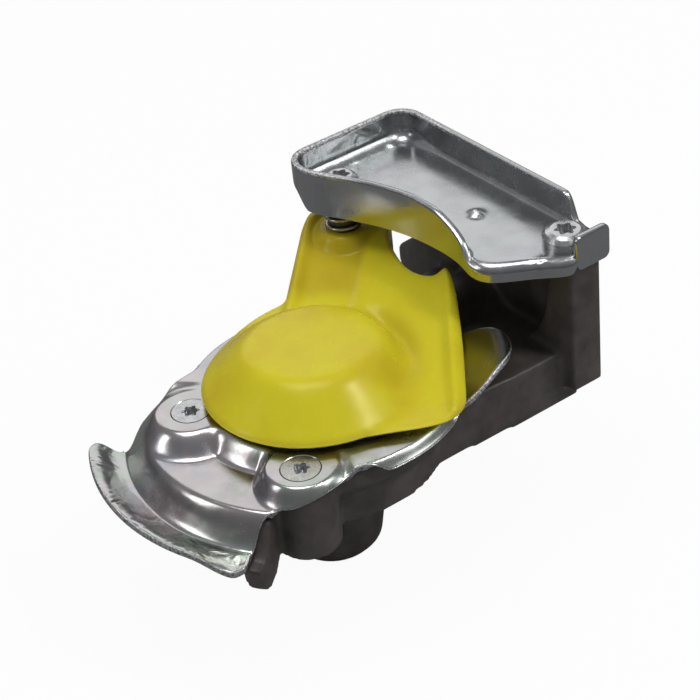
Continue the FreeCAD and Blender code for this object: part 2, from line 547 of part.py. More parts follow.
bind(nut, Circumradius="{nut_af} / sqrt(3)", Height="{nut_h}",
     at=(px, py, "{hub_low} - {part_gap} - {washer_t} - {nut_h}"))
cut("nut", nut, cylinder("nut_hole", "{m6_r} + {fit_gap}", "12", (px, py, "-2"))).Label = "pivot_nut"

# Lid: a soft flat-topped cone over the seal that runs into an arm with raised edges, rising to the pivot
pivot = (size("pivot_x"), size("pivot_y"))
hub_arc = 12.4
arm_corner = (pivot[0] - 0.707 * hub_arc, pivot[1] - 0.707 * hub_arc)
arm_foot = polar(size("lid_r"), 159)
wing_top = (6.5, 40.6)
wing_foot = (35.4, 18.6)
horn = (0.4, 42.0)
column_line = [(-26.9, 38.4), (-20.5, 30.9)]


def soft_max(soft, *levels):
    return soft * math.log(sum(math.exp(level / soft) for level in levels))


def left_of(start, end, x, y):
    """Distance of a point from the line through start and end, positive on its left."""
    across = (end[0] - start[0]) * (y - start[1]) - (end[1] - start[1]) * (x - start[0])
    return across / math.dist(start, end)


def bead(depth):
    return size("bead_h") * math.exp(-((depth - size("bead_in")) / size("bead_w")) ** 2)


def lid_height(x, y):
    r = math.hypot(x, y)
    turn = math.degrees(math.atan2(y, x))
    away = math.dist(pivot, (x, y))
    cap = size("lid_top_z")
    edge = size("lid_rim_z") + 0.8
    fall = (cap - edge) / (size("lid_r") - size("lid_top_r"))
    cone_z = -soft_max(0.9, -cap, fall * (r - size("lid_top_r")) - cap)
    arm_z = min(3.93 - 0.108 * x + 0.221 * y, size("hub_z") + 0.4) - size("arm_sink")
    arm_z -= size("column_sink") * ease((1.5 - left_of(column_line[0], column_line[1], x, y)) / 3.0)
    behind = ease((0.383 * (y - pivot[1]) - 0.924 * (x - pivot[0])) / 4.0)
    arm_z += max(bead(left_of(arm_corner, arm_foot, x, y)), bead(left_of(wing_foot, wing_top, x, y)),
                 behind * bead(hub_arc - away))
    arm_z += size("horn_h") * math.exp(-(math.dist(horn, (x, y)) / 2.6) ** 2)
    z = soft_max(0.7, cone_z, arm_z, edge)
    side = ease((turn - 6.0) / 28.0) * ease((118.0 - turn) / 28.0)
    z -= size("valley_depth") * side * math.exp(-((r - size("valley_r")) / size("valley_w")) ** 2)
    return z + (size("hub_z") - z) * ease((9.4 - away) / 3.2)


lid_wire_line = Part.Wire([
    Part.Arc(V(*arm_foot, 0), V(*polar(size("lid_r"), -95), 0), V(*polar(size("lid_r"), -12), 0)).toShape(),
    curve([polar(size("lid_r"), -12), (31.6, 1.2), (35.3, 8.2), (36.7, 13.8), wing_foot, (31.6, 22.4)]),
    curve([(31.6, 22.4), (18.8, 32.1), wing_top]),
    curve([wing_top, (3.0, 42.5), (-0.8, 43.1), (-3.2, 41.2), (-8.0, 38.7), (-16.0, 39.4),
           (-24.0, 43.0), (pivot[0] + 4.0, pivot[1] + hub_arc - 0.6), (pivot[0], pivot[1] + hub_arc)]),
    Part.Arc(V(pivot[0], pivot[1] + hub_arc, 0), V(pivot[0] - hub_arc, pivot[1], 0), V(*arm_corner, 0)).toShape(),
    Part.LineSegment(V(*arm_corner, 0), V(*arm_foot, 0)).toShape(),
])
lid_top = height_face(lid_height, (-48.0, -34.0), (42.0, 49.0), 60)
lid_block = prism(lid_wire_line, size("lid_rim_z"), 40.0)
lid_outer = lid_block.common(swept(lid_top, -60.0))
hollow_wire = inset(lid_wire_line, size("lid_t"), 80)
lid_hollow = prism(hollow_wire, -5.0, 40.0).common(swept(lid_top.translated(V(0, 0, -size("lid_t"))), -60.0))
lid_shell = solid("lid_shell", lid_outer.cut(lid_hollow))
hub = cylinder("lid_hub", "{hub_r}", "{hub_z} - {hub_low}", (px, py, "{hub_low}"))
lid_all = fuse("lid_all", [lid_shell, hub])
cut("lid", lid_all, cylinder("lid_bore", "{bush_r} + {fit_gap}", "40", (px, py, "-2"))).Label = "dust_lid"
cut("bush", cylinder("bush_tube", "{bush_r}", "{tray_z} - {part_gap} - {hub_low}", (px, py, "{hub_low}")),
    cylinder("bush_bore", "{shoulder_bolt_r} + {run_gap}", "40", (px, py, "-2"))).Label = "lid_bush"

NODES = ["body_casting", "lower_guide_plate", "upper_guide_plate", "guide_screw_left", "guide_screw_right",
         "post_screw", "pivot_bolt", "head_washer", "nut_washer", "pivot_nut", "lid_spring", "dust_lid",
         "lid_bush", "face_seal", "valve_sleeve", "sleeve_ring", "valve_plunger", "plunger_ring", "valve_spring"]

doc.recompute()
for obj in doc.Objects:
    if "Invalid" in obj.State or "Error" in obj.State:
        raise RuntimeError("object %s is in state %s" % (obj.Name, obj.State))
    if hasattr(obj, "Shape") and (obj.Shape.isNull() or not obj.Shape.isValid()):
        raise RuntimeError("shape of %s is not valid" % obj.Name)
for node in NODES:
    found = doc.getObjectsByLabel(node)
    if len(found) != 1:
        raise RuntimeError("%d objects carry the label %s" % (len(found), node))
    shape = found[0].Shape
    if len(shape.Solids) != 1:
        for piece in shape.Solids:
            print(node, "%.1f" % piece.Volume, piece.BoundBox)
        raise RuntimeError("%s has %d solids" % (node, len(shape.Solids)))
    print(node, "volume %.0f" % shape.Volume, "solids", len(shape.Solids))
    shape.exportStep("parts/%s.step" % node)
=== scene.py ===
import logging
import math
from dataclasses import dataclass
from enum import Enum

import bpy
import numpy as np
from mathutils import Matrix, Vector
from numpy.typing import NDArray

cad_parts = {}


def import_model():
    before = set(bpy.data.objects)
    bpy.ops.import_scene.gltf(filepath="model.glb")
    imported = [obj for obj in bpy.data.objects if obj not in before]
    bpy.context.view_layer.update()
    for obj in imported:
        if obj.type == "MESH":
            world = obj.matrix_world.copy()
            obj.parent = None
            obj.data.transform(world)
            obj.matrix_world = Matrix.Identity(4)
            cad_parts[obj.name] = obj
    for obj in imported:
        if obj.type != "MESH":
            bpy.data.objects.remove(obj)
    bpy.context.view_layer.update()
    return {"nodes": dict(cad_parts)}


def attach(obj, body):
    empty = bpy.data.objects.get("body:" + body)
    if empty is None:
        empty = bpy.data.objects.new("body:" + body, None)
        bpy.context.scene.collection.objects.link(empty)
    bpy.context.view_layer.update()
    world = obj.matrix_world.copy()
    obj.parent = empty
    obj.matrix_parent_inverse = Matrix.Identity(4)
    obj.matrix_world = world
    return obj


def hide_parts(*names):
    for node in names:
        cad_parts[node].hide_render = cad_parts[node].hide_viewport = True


# Looks of a trailer air coupling head: pressed guide plates, a spring lid and a die-cast body.
# Shapes are worked out in millimetres about the seal axis and go into the meshes in metres.

LOG = logging.getLogger("coupling_head")
MM = 0.001
SHARP = 40.0  # the angle in degrees past which an edge is shaded sharp
Grid = NDArray[np.float64]
Pair = tuple[float, float]
Triple = tuple[float, float, float]
Object = bpy.types.Object
Material = bpy.types.Material
Socket = bpy.types.NodeSocket
Stops = tuple[tuple[float, Triple], ...]
Inputs = dict[str | int, object]
Outputs = dict[str | int, Socket]


class Ends(Enum):
    """How the first and the last row of a grid close."""

    JOINED = "joined"
    POLES = "poles"


# Curves and grids


def ease(value: Grid | float) -> Grid:
    """Half a cosine wave: 0 for values below 0, 1 for values above 1, an eased climb between."""
    return 0.5 - 0.5 * np.cos(np.pi * np.clip(value, 0.0, 1.0))


def climb(value: Grid, step: Pair) -> Grid:
    """An eased climb from 0 to 1 over a (start, width) step."""
    return ease((value - step[0]) / step[1])


def sector(turn: Grid, low: float, high: float, soft: float) -> Grid:
    """1 between two bearings and 0 outside them, eased over the soft degrees inside each."""
    return ease((turn - low) / soft) * ease((high - turn) / soft)


def bell(value: Grid | float) -> Grid:
    """A Gaussian hump, exp(-value squared), 1 at 0."""
    return np.exp(-np.square(value))


def spot(x: Grid, y: Grid, place: Pair, reach: float) -> Grid:
    """A Gaussian hump about a place, down to 1/e at that reach."""
    return bell(np.hypot(x - place[0], y - place[1]) / reach)


def polar(radius: float, degrees: float) -> Pair:
    """The point at that radius and angle about the seal axis."""
    return radius * math.cos(math.radians(degrees)), radius * math.sin(math.radians(degrees))


def about_seal(x: Grid, y: Grid) -> tuple[Grid, Grid]:
    """Radius and bearing, in degrees, of places about the seal axis."""
    return np.hypot(x, y), np.degrees(np.arctan2(y, x))


def arc(centre: Pair, radius: float, start: float, stop: float, count: int = 80) -> Grid:
    """Points on a circular arc.

    Args:
        centre: the arc's centre.
        radius: its radius.
        start: first angle in degrees.
        stop: last angle in degrees.
        count: how many points.

    Returns:
        An array of count points.
    """
    turn = np.radians(np.linspace(start, stop, count))
    return np.stack([centre[0] + radius * np.cos(turn), centre[1] + radius * np.sin(turn)], -1)


def quarter(start: float, count: int) -> list[Pair]:
    """(1 - sin, 1 - cos) of angles from start to 90 degrees, for rows round a quarter circle."""
    turn = np.radians(np.linspace(start, 90.0, count))
    return [(1.0 - math.sin(a), 1.0 - math.cos(a)) for a in turn]


def through(points: list[Pair], count: int = 90) -> Grid:
    """A natural cubic spline through the points, over the chord length between them.

    The second derivatives solve the usual three-term equations, with zero at both ends.

    Args:
        points: the points to pass through, in order.
        count: how many points to return, evenly spread over the chord length.

    Returns:
        An array of count points on the curve.
    """
    knots = np.array(points, float)
    step = np.linalg.norm(np.diff(knots, axis=0), axis=1)
    place = np.concatenate([[0.0], np.cumsum(step)])
    middle = np.diag([1.0, *(2.0 * (step[:-1] + step[1:])), 1.0])
    matrix = middle + np.diag([*step[:-1], 0.0], -1) + np.diag([0.0, *step[1:]], 1)
    slope = np.diff(knots, axis=0) / step[:, None]
    bend = np.linalg.solve(matrix, 6.0 * np.pad(np.diff(slope, axis=0), ((1, 1), (0, 0))))
    at = np.linspace(0.0, place[-1], count)
    k = np.clip(np.searchsorted(place, at, side="right") - 1, 0, len(step) - 1)
    span = step[k][:, None]
    a = (place[k + 1] - at)[:, None] / span
    b = 1.0 - a
    bulge = ((a**3 - a) * bend[k] + (b**3 - b) * bend[k + 1]) * span**2 / 6.0
    return a * knots[k] + b * knots[k + 1] + bulge


def closed(pieces: list[Grid]) -> Grid:
    """Joins pieces of an outline, each ending where the next starts, into one closed path."""
    return np.concatenate([p[:-1] for p in pieces] + [pieces[0][:1]])


def spread(path: Grid, count: int, weight: Grid | None = None) -> Grid:
    """Spreads points along a closed path.

    Args:
        path: the path, whose last point is its first one.
        count: how many points it gets.
        weight: how densely each point of the path is served, or None for an even spread.

    Returns:
        An array of count points, the last one short of the first.
    """
    length = np.linalg.norm(np.diff(path, axis=0), axis=1)
    if weight is not None:
        length = length * 0.5 * (weight[:-1] + weight[1:])
    place = np.concatenate([[0.0], np.cumsum(length)])
    at = np.linspace(0.0, place[-1], count, endpoint=False)
    return np.stack([np.interp(at, place, path[:, 0]), np.interp(at, place, path[:, 1])], -1)


def soften(values: Grid, rounds: int) -> Grid:
    """A closed row of values or points, each evened out with its two neighbours, several times."""
    for _ in range(rounds):
        values = 0.5 * values + 0.25 * (np.roll(values, 1, 0) + np.roll(values, -1, 0))
    return values


def left_of(start: Pair, end: Pair, x: Grid, y: Grid) -> Grid:
    """Distance of places from the line through start and end, positive on its left."""
    across = (end[0] - start[0]) * (y - start[1]) - (end[1] - start[1]) * (x - start[0])
    return across / math.dist(start, end)


def unit(vectors: Grid) -> Grid:
    """Vectors brought to length 1 along the last axis."""
    return vectors / np.maximum(np.linalg.norm(vectors, axis=-1, keepdims=True), 1e-9)


def outward(path: Grid) -> Grid:
    """Unit normals out of a closed counter-clockwise path, square to the line past each point."""
    tangent = np.roll(path, -1, 0) - np.roll(path, 1, 0)
    return unit(np.stack([tangent[:, 1], -tangent[:, 0]], -1))


def normals_of(rows: Grid) -> Grid:
    """Unit normals of a grid of points, from the cross product of its two directions.

    Args:
        rows: grid (rows, columns, 3) whose columns run round a closed path, with rows outwards.

    Returns:
        Normals of the same shape, upwards for a grid that lies flat and runs counter-clockwise.
    """
    return unit(np.cross(np.gradient(rows, axis=0), np.roll(rows, -1, 1) - np.roll(rows, 1, 1)))


def raised(flat: Grid, height: Grid | float) -> Grid:
    """Points of a plane path, lifted to one height or to a height each."""
    return np.concatenate([flat, np.broadcast_to(height, len(flat))[:, None]], 1)


def put(name: str, data: bpy.types.ID) -> Object:
    """Makes an object for a mesh, a lamp or a camera and links it to the scene."""
    made = bpy.data.objects.new(name, data)
    bpy.context.scene.collection.objects.link(made)
    return made


def skin(name: str, grids: list[tuple[Grid, Ends]], marks: dict[str, Grid] | None = None,
         sharp: float = SHARP) -> Object:
    """Makes one mesh object of closed grids, in metres, with outward faces.

    Each grid's columns run round and join. Its rows join too or end in poles at their mean points.

    Args:
        name: the object's name.
        grids: grids (rows, columns, 3) in millimetres, each with its kind of ends.
        marks: for each attribute's name one share per point of the first grid, 0 elsewhere.
        sharp: the angle in degrees past which an edge is shaded sharp.

    Returns:
        The new object, at the origin.
    """
    points, faces, offset = [], [], 0
    for grid, ends in grids:
        rows, columns, _ = grid.shape
        index = np.arange(rows * columns).reshape(rows, columns)
        ahead = np.roll(index, -1, 1)
        joined = ends is Ends.JOINED
        low, high = (index, np.roll(index, -1, 0)) if joined else (index[:-1], index[1:])
        quads = np.stack([low, np.roll(low, -1, 1), np.roll(high, -1, 1), high], -1)
        cells: list[list[int]] = quads.reshape(-1, 4).tolist()
        flat = grid.reshape(-1, 3)
        if ends is Ends.POLES:
            first, last = len(flat), len(flat) + 1
            flat = np.concatenate([flat, grid[:1].mean(1), grid[-1:].mean(1)])
            cells += np.stack([np.full(columns, first), ahead[0], index[0]], -1).tolist()
            cells += np.stack([np.full(columns, last), index[-1], ahead[-1]], -1).tolist()
        a, b, c, d = (flat[[cell[k] for cell in cells]] for k in (0, 1, 2, -1))
        if np.sum(a * (np.cross(b, c) + np.cross(c, d))) < 0.0:
            cells = [cell[::-1] for cell in cells]
        faces += [[v + offset for v in cell] for cell in cells]
        points.append(flat)
        offset += len(flat)
    mesh = bpy.data.meshes.new(name)
    mesh.from_pydata((np.concatenate(points) * MM).tolist(), [], faces)
    for label, marked in (marks or {}).items():
        shares = np.zeros(offset, np.float32)
        shares[:marked.size] = marked.reshape(-1)
        mesh.attributes.new(label, "FLOAT", "POINT").data.foreach_set("value", shares)
    mesh.validate()
    mesh.polygons.foreach_set("use_smooth", [True] * len(mesh.polygons))
    mesh.set_sharp_from_angle(angle=math.radians(sharp))
    return put(name, mesh)


def turned(centre: Pair, profile: list[Pair], count: int = 72) -> Grid:
    """A profile of (radius, height) points turned about an upright axis.

    Args:
        centre: where the axis stands.
        profile: the profile's points.
        count: points round the axis.

    Returns:
        A grid with one row for each profile point.
    """
    radius, height = np.array(profile, float).T
    turn = np.linspace(0.0, 2.0 * np.pi, count, endpoint=False)
    x = centre[0] + radius[:, None] * np.cos(turn)
    y = centre[1] + radius[:, None] * np.sin(turn)
    return np.stack([x, y, np.broadcast_to(height[:, None], x.shape)], -1)


def bake(piece: Object) -> None:
    """Puts a piece's modifiers into a mesh of its own and leaves none behind."""
    bpy.context.view_layer.update()
    seen = piece.evaluated_get(bpy.context.evaluated_depsgraph_get())
    done = bpy.data.meshes.new_from_object(seen)
    piece.modifiers.clear()
    old, piece.data = piece.data, done
    bpy.data.meshes.remove(old)


def carve(piece: Object, cutters: list[Grid]) -> None:
    """Cuts turned shapes, which are grids with poles at both ends, out of a closed piece."""
    tool = skin("cutter", [(grid, Ends.POLES) for grid in cutters])
    cut = piece.modifiers.new("holes", "BOOLEAN")
    cut.operation = "DIFFERENCE"
    cut.solver = "MANIFOLD"
    cut.object = tool
    bake(piece)
    bpy.data.objects.remove(tool)
    piece.data.set_sharp_from_angle(angle=math.radians(SHARP))


# Finishes


class Tree:
    """Short calls for the node tree of a material or a world."""

    def __init__(self, owner: Material | bpy.types.World) -> None:
        """Starts from an empty tree."""
        owner.use_nodes = True
        self.nodes, self.links = owner.node_tree.nodes, owner.node_tree.links
        self.nodes.clear()

    def fill(self, node: bpy.types.Node, inputs: Inputs) -> Outputs:
        """Links or sets a node's inputs, by name or place, and returns its outputs."""
        for key, value in inputs.items():
            socket = node.inputs[key]
            if isinstance(value, Socket):
                self.links.new(value, socket)
            elif socket.type == "RGBA":
                socket.default_value = (*value, 1.0)
            else:
                socket.default_value = value
        return node.outputs

    def add(self, kind: str, inputs: Inputs) -> Outputs:
        """Adds a shader node, fills its inputs and returns its outputs."""
        return self.fill(self.nodes.new("ShaderNode" + kind), inputs)

    def ramp(self, source: Socket, stops: Stops) -> Socket:
        """Colours from a value, by (place, colour) stops in order."""
        node = self.nodes.new("ShaderNodeValToRGB")
        elements = node.color_ramp.elements
        while len(elements) < len(stops):
            elements.new(0.5)
        for element, (at, colour) in zip(elements, stops):
            element.position = at
            element.color = (*colour, 1.0)
        return self.fill(node, {0: source})[0]

    def mix(self, share: Socket | float, first: Socket | Triple, second: Socket | Triple) -> Socket:
        """Mixes two colours."""
        node = self.nodes.new("ShaderNodeMix")
        node.data_type = "RGBA"
        return self.fill(node, {0: share, 6: first, 7: second})[2]

    def math(self, action: str, first: Socket, second: Socket | float) -> Socket:
        """One Math node."""
        node = self.nodes.new("ShaderNodeMath")
        node.operation = action
        return self.fill(node, {0: first, 1: second})[0]


class Nodes(Tree):
    """The tree of one material with a principled shader, on Object coordinates."""

    def __init__(self, name: str) -> None:
        """Makes the material."""
        self.material = bpy.data.materials.new(name)
        super().__init__(self.material)
        self.shader = self.nodes.new("ShaderNodeBsdfPrincipled")
        self.add("OutputMaterial", {"Surface": self.shader.outputs[0]})
        self.coordinates = self.add("TexCoord", {})["Object"]

    def noise(self, scale: float, detail: float, rough: float, stretch: Triple | None = None,
              twist: float = 0.0) -> Socket:
        """Noise on Object coordinates.

        Args:
            scale: waves per metre.
            detail: octaves.
            rough: share that each octave keeps.
            stretch: how the coordinates are scaled first.
            twist: distortion of the noise.

        Returns:
            The noise value's socket.
        """
        source = self.coordinates
        if stretch:
            source = self.add("Mapping", {"Vector": source, "Scale": stretch})[0]
        return self.add("TexNoise", {"Vector": source, "Scale": scale, "Detail": detail,
                                     "Roughness": rough, "Distortion": twist})["Fac"]

    def attribute(self, name: str) -> Socket:
        """The value of a mesh attribute."""
        node = self.nodes.new("ShaderNodeAttribute")
        node.attribute_name = name
        return node.outputs["Fac"]

    def range(self, source: Socket, to_low: float, to_high: float, low: float = 0.3,
              high: float = 0.7) -> Socket:
        """A value carried into a new span and held there. Noise mostly spans 0.3 to 0.7."""
        return self.add("MapRange", {"Value": source, "From Min": low, "From Max": high,
                                     "To Min": to_low, "To Max": to_high})["Result"]

    def shade(self, inputs: Inputs, bumps: list[tuple[Socket, float]]) -> None:
        """Fills inputs of the shader and stacks bumps on it.

        Args:
            inputs: for each input's name a socket, a number or a tuple.
            bumps: (height socket, depth in metres) pairs.
        """
        below: Inputs = {}
        for height, depth in bumps:
            node = {"Height": height, "Strength": 1.0, "Distance": depth, **below}
            below = {"Normal": self.add("Bump", node)[0]}
        self.fill(self.shader, {**inputs, **below})


@dataclass(frozen=True)
class ZincPlate:
    """Zinc-plated pressed steel with a faint film and sheared edges. Depths are in metres."""

    polish: float
    plain: Triple
    film: float = 0.8
    dent: float = 0.00006
    crumple: float = 0.0014
    grain: float = 0.000012
    torn: float = 0.0003
    clouds: Stops = ((0.30, (0.46, 0.47, 0.50)), (0.42, (0.56, 0.505, 0.51)),
                     (0.54, (0.49, 0.54, 0.48)), (0.70, (0.52, 0.515, 0.505)))
    sparkle: Stops = ((0.38, (0.13, 0.13, 0.14)), (0.50, (0.62, 0.62, 0.62)),
                      (0.62, (0.95, 0.95, 0.95)))

    def material(self, name: str) -> Material:
        """Builds the finish: pink and green clouds, a drawn grain, dents and crumples.

        The steel sparkles where edge_wear marks it and is smoother where polished marks it.
        """
        n = Nodes(name)
        film = n.ramp(n.noise(46.0, 3.0, 0.5, twist=0.6), self.clouds)
        colour = n.mix(self.film, self.plain, film)
        edge = n.attribute("edge_wear")
        sparkle = n.mix(0.75, colour, n.ramp(n.noise(1500.0, 3.0, 0.7), self.sparkle))
        rough = n.range(n.noise(160.0, 5.0, 0.6), self.polish - 0.05, self.polish + 0.10)
        rough = n.math("SUBTRACT", rough, n.math("MULTIPLY", n.attribute("polished"), 0.10))
        grain = n.noise(900.0, 2.0, 0.6, stretch=(1.0, 0.25, 1.0))
        torn = n.math("MULTIPLY", n.noise(1100.0, 4.0, 0.75), edge)
        crumpled = n.noise(125.0, 2.0, 0.5, twist=0.9)
        crumpled = n.math("MULTIPLY", crumpled, n.attribute("crumple"))
        n.shade({"Base Color": n.mix(edge, colour, sparkle), "Metallic": 1.0,
                 "Roughness": n.math("ADD", rough, n.math("MULTIPLY", edge, 0.12))},
                [(n.noise(120.0, 2.0, 0.5), self.dent), (crumpled, self.crumple),
                 (grain, self.grain), (torn, self.torn)])
        return n.material


@dataclass(frozen=True)
class BrightScrew:
    """Bright zinc on a headed screw."""

    polish: float = 0.20
    dull: Triple = (0.46, 0.47, 0.48)
    bright: Triple = (0.64, 0.64, 0.64)

    def material(self, name: str) -> Material:
        """Builds the finish: pale metal, slightly cloudy, with small nicks."""
        n = Nodes(name)
        colour = n.ramp(n.noise(300.0, 4.0, 0.6), ((0.3, self.dull), (0.7, self.bright)))
        rough = n.range(n.noise(500.0, 4.0, 0.6), self.polish, self.polish + 0.16)
        n.shade({"Base Color": colour, "Roughness": rough, "Metallic": 1.0},
                [(n.noise(1300.0, 3.0, 0.7), 0.00006)])
        return n.material


@dataclass(frozen=True)
class MouldedPlastic:
    """Satin through-coloured plastic. Where the mesh's shade mark is set, a darker, warmer painted
    shade goes into its colour.
    """

    colour: Triple = (0.665, 0.585, 0.023)
    shade: Triple = (0.60, 0.475, 0.022)
    # colour of the painted shade on the arm under the tray and in the valley
    shade_colour: Triple = (0.50, 0.375, 0.020)
    gloss: float = 0.24

    def material(self, name: str) -> Material:
        """Builds the finish: a faint flow mottle, painted shade from the mesh's mark, satin gloss
        and a fine moulded skin.
        """
        n = Nodes(name)
        flow = n.ramp(n.noise(38.0, 4.0, 0.55), ((0.34, self.shade), (0.58, self.colour)))
        # Painted shade: the mesh's mark, broken into patches by noise, mixes in the darker, warmer
        # colour.
        patches = n.range(n.noise(120.0, 3.0, 0.5), 0.7, 1.0, 0.3, 0.6)
        painted_shade = n.math("MULTIPLY", n.attribute("painted_shade"), patches)
        rough = n.range(n.noise(240.0, 3.0, 0.6), self.gloss - 0.04, self.gloss + 0.06)
        n.shade({"Base Color": n.mix(painted_shade, flow, self.shade_colour), "Roughness": rough,
                 "Specular IOR Level": 0.26, "Specular Tint": (1.0, 0.94, 0.62),
                 "Subsurface Weight": 0.06, "Subsurface Scale": 0.002,
                 "Subsurface Radius": (1.0, 0.8, 0.2)},
                [(n.noise(90.0, 2.0, 0.5), 0.00005), (n.noise(2400.0, 2.0, 0.6), 0.000008)])
        return n.material


@dataclass(frozen=True)
class CastPaint:
    """Dark coating on a die-cast body."""

    colour: Triple = (0.046, 0.039, 0.036)
    worn: Triple = (0.090, 0.079, 0.073)

    def material(self, name: str) -> Material:
        """Builds the finish: near-black with brown clouds, satin gloss and a casting's skin."""
        n = Nodes(name)
        colour = n.ramp(n.noise(110.0, 5.0, 0.6), ((0.35, self.colour), (0.72, self.worn)))
        rough = n.range(n.noise(330.0, 4.0, 0.6), 0.36, 0.52)
        n.shade({"Base Color": colour, "Roughness": rough, "Specular IOR Level": 0.45},
                [(n.noise(140.0, 3.0, 0.5), 0.00012), (n.noise(1500.0, 3.0, 0.65), 0.00003)])
        return n.material


@dataclass(frozen=True)
class PlainFinish:
    """A plain finish for a small part that is mostly hidden."""

    colour: Triple
    metal: float
    rough: float

    def material(self, name: str) -> Material:
        """Builds the finish: slightly uneven colour and gloss with a fine bump."""
        n = Nodes(name)
        darker = tuple(0.8 * c for c in self.colour)
        colour = n.ramp(n.noise(400.0, 4.0, 0.6), ((0.3, darker), (0.7, self.colour)))
        rough = n.range(n.noise(700.0, 3.0, 0.6), self.rough - 0.06, self.rough + 0.08)
        n.shade({"Base Color": colour, "Roughness": rough, "Metallic": self.metal},
                [(n.noise(1800.0, 2.0, 0.6), 0.00001)])
        return n.material


def dress(piece: Object, material: Material) -> None:
    """Gives a piece one material."""
    piece.data.materials.clear()
    piece.data.materials.append(material)
    piece.data.update()


# Sub-assemblies


@dataclass
class GuidePlate:
    """The lower guide plate: ring round the seal, two screw pads, terrace, channel and raised lip.

    Steps are (start, width) pairs in radius or bearing. Sectors are (low, high, soft) bearings.
    """

    sheet: float = 1.9
    nose: float = 0.55
    columns: int = 420
    hole: float = 16.2
    bend_r: float = 34.0
    ring: float = 38.0
    left_ring: float = 32.5
    lip: float = 58.24
    fan_lip: float = 58.5
    pad: float = 8.0
    pads: tuple[Triple, ...] = ((24.0, -21.6, 4.4), (-12.3, -29.3, 6.6))
    step: Pair = (26.8, 5.4)
    fall: Pair = (43.6, 6.4)
    rise: Pair = (50.6, 7.5)
    terrace_z: float = -5.0
    channel_z: float = -13.0
    lip_z: float = -9.0
    lip_sag: float = 3.0
    sag: Pair = (-68.0, 12.0)
    front: float = -77.5
    front_end: Pair = (46.0, 12.0)
    ear_z: float = 6.0
    ear: Pair = (37.0, 11.0)
    ear_sector: Triple = (22.0, 102.0, 16.0)
    rim_drop: float = 2.6
    rim: Pair = (35.3, 2.8)
    rim_sector: Triple = (-24.0, 36.0, 10.0)
    crumple: Pair = (49.5, 2.5)
    screw_head: float = 4.75
    screw_shank: float = 2.6
    screw_gap: float = 0.28
    screws: tuple[Pair, ...] = ((24.9, -22.4), (-12.3, -29.3))

    def height(self, x: Grid, y: Grid) -> Grid:
        """Height of the top face.

        Cosine steps lead from the ring down to the terrace and the channel and up to the lip.
        Round each screw a step holds the sheet level, and past both ends of the lip another one
        ends the drop. The ear steps up in its sector and the right rim a little down.

        Args:
            x: places along X.
            y: places along Y.

        Returns:
            Heights of the same shape.
        """
        r, turn = about_seal(x, y)
        front = self.terrace_z + (self.channel_z - self.terrace_z) * climb(r, self.fall)
        lift = self.lip_z - self.channel_z - self.lip_sag * climb(turn, self.sag)
        front = front + lift * climb(r, self.rise)
        keep = climb(r, self.step)
        for px, py, roll in self.pads:
            keep = keep * climb(np.hypot(x - px, y - py), (self.pad, roll))
        off = np.abs((turn - self.front + 180.0) % 360.0 - 180.0)
        z = front * keep * (1.0 - climb(off, self.front_end))
        z = z + self.ear_z * climb(r, self.ear) * sector(turn, *self.ear_sector)
        return z - self.rim_drop * climb(r, self.rim) * sector(turn, *self.rim_sector)

    def outline(self) -> Grid:
        """The plate's outline, counter-clockwise, with more points near the screws."""
        lip, ring, left = self.lip, self.ring, self.left_ring
        path = closed([
            arc((0.0, 0.0), ring, -9.0, 33.0)[::-1],
            through([polar(ring, -9), (34.4, -10.2), (33.3, -13.2), (33.9, -17.6), (34.5, -22.5),
                     (33.4, -27.4), (30.7, -31.2), (28.6, -33.0), (27.9, -36.2),
                     polar(48.5, -54.2)]),
            through([polar(48.5, -54.2), polar(50.5, -54.8), polar(lip - 3.0, -54.3),
                     polar(lip, -56.0)], 40),
            arc((0.0, 0.0), lip, -56.0, -119.0),
            through([polar(lip, -119), polar(lip - 2.0, -121.8), polar(51.0, -121.5),
                     polar(45.0, -120.5), (-23.2, -35.0), (-25.0, -28.5), polar(left, -145)]),
            arc((0.0, 0.0), left, 215.0, 100.0),
            through([polar(left, 100), polar(36.0, 84), polar(45.0, 69), polar(48.5, 61),
                     polar(48.8, 54), polar(45.5, 46), polar(ring, 33)]),
        ])
        x, y = path.T
        near = sum(spot(x, y, (1.3 * sx, 1.3 * sy), 14.0) for sx, sy in self.screws)
        return soften(spread(path, self.columns, 1.0 + 2.2 * near)[::-1], 2)

    def bearings(self, edge: Grid) -> tuple[Grid, Grid]:
        """Where each column leaves the seal hole and where it bends to the edge, in radians.

        Past the sides of the lip the outline runs almost along a radius, so columns fan out from
        further in. The fan gives places on the edge and the bearings at which their columns bend.
        """
        lip = self.fan_lip
        fan = [(polar(self.left_ring, -145), -145.0), ((-25.0, -28.5), -126.0),
               ((-23.2, -35.0), -117.0), (polar(45.0, -120.5), -113.0),
               (polar(51.0, -121.5), -110.0), (polar(lip, -119), -107.0),
               (polar(lip, -103), -100.0), (polar(lip, -72), -75.0), (polar(lip, -56), -66.5),
               (polar(48.5, -54.2), -60.0), ((28.6, -33.0), -53.0), ((33.4, -27.4), -39.5)]
        around = np.linspace(0.0, 2.0 * np.pi, len(edge), endpoint=False)
        bend = np.unwrap(np.arctan2(edge[:, 1], edge[:, 0]))
        marks = [int(np.hypot(*(edge - point).T).argmin()) for point, _ in fan]
        goal = np.radians([turn for _, turn in fan])
        goal = goal + 2.0 * np.pi * np.round((bend[marks] - goal) / (2.0 * np.pi))
        span = np.arange(marks[0], marks[-1] + 1)
        bend[span] = np.interp(span, marks, goal)
        bend = soften(bend - around, 10)
        return soften(bend, 160) + around, bend + around

